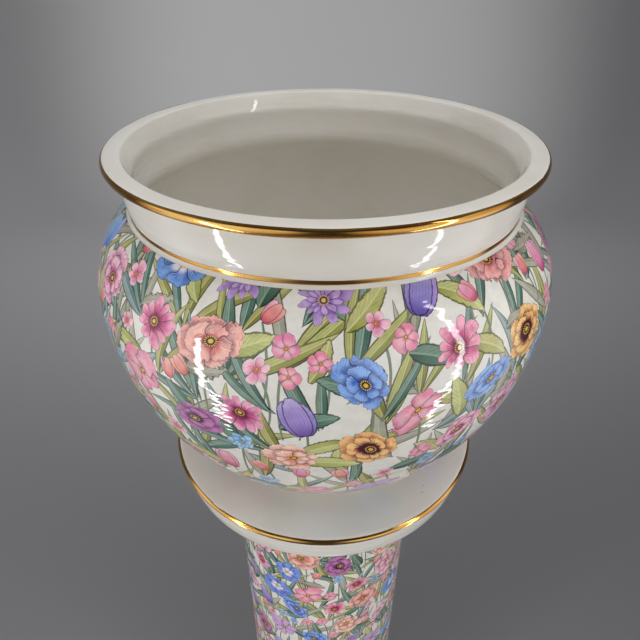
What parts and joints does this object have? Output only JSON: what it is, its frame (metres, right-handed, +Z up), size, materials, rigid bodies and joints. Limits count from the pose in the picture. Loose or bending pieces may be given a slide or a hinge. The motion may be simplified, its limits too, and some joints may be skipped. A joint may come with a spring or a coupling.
{
  "type": "jardiniere on stand",
  "caption": "Round-bellied glazed jardiniere with a rolled gilded rim, standing loose on a hollow column pedestal with a dished plate and a spread base, both with an all-over floral print.",
  "frame": {"origin": "centre of the pedestal's foot, on the floor", "axes": "+Z up along the common axis of the pedestal and the jardiniere"},
  "size_m": [0.3813, 0.3814, 0.9885],
  "materials": {
    "glaze": "cream-white earthenware under a clear gloss glaze",
    "print": "all-over printed garden flowers on cream, under a clear gloss glaze",
    "gold": "bright fired gold lustre"
  },
  "bodies": {
    "pedestal": {"pedestal": "glaze", "column_print": "print", "plate_gilding": "gold", "base_gilding": "gold"},
    "jardiniere": {"jardiniere": "glaze", "body_print": "print", "rim_gilding": "gold", "neck_gilding": "gold"}
  },
  "joints": [
    {"name": "jardiniere_lift", "type": "slide", "parent": "pedestal", "child": "jardiniere", "axis": [0, 0, 1], "range_m": [0, 0.35]}
  ]
}
